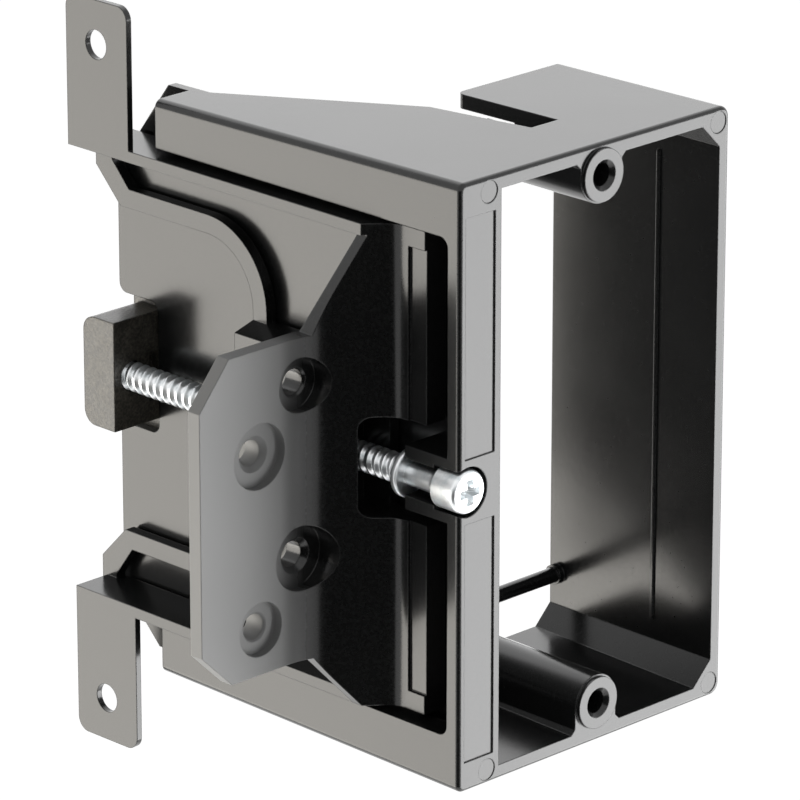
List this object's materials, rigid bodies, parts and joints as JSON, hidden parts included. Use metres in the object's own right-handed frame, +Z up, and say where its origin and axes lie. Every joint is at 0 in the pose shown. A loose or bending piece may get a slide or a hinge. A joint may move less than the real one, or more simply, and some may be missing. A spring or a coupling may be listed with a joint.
{
  "type": "low voltage mounting bracket",
  "caption": "Open-backed box frame that slides in depth on a stud bracket, set by a captive front screw, with threaded bosses for a device.",
  "frame": {"origin": "midway between the two device screw holes, on the plane of the frame's front rim", "axes": "+X to the right seen from the front, +Y back into the wall, +Z up along the frame's height"},
  "size_m": [0.0869, 0.0836, 0.1202],
  "materials": {
    "frame_plastic": "glossy black moulded plastic",
    "bracket_plastic": "glossy black moulded plastic",
    "block_plastic": "grainy dark grey plastic",
    "screw_zinc": "zinc plated steel"
  },
  "bodies": {
    "stud_bracket": {"stud_bracket": "bracket_plastic"},
    "frame": {"frame": "frame_plastic", "screw_end_block": "block_plastic"},
    "adjusting_screw": {"adjusting_screw": "screw_zinc"}
  },
  "joints": [
    {"name": "depth_slide", "type": "slide", "parent": "stud_bracket", "child": "frame", "axis": [0, 1, 0], "range_m": [-0.0235, 0.0055]},
    {"name": "screw_turn", "type": "hinge", "parent": "frame", "child": "adjusting_screw", "pos_m": [-0.0275, 0, -0.0008], "axis": [0, 1, 0], "range_deg": [-5370, 1290]}
  ],
  "couplings": [
    {"joint": "screw_turn", "follows": "depth_slide", "rad_per_m": 3957.9}
  ]
}
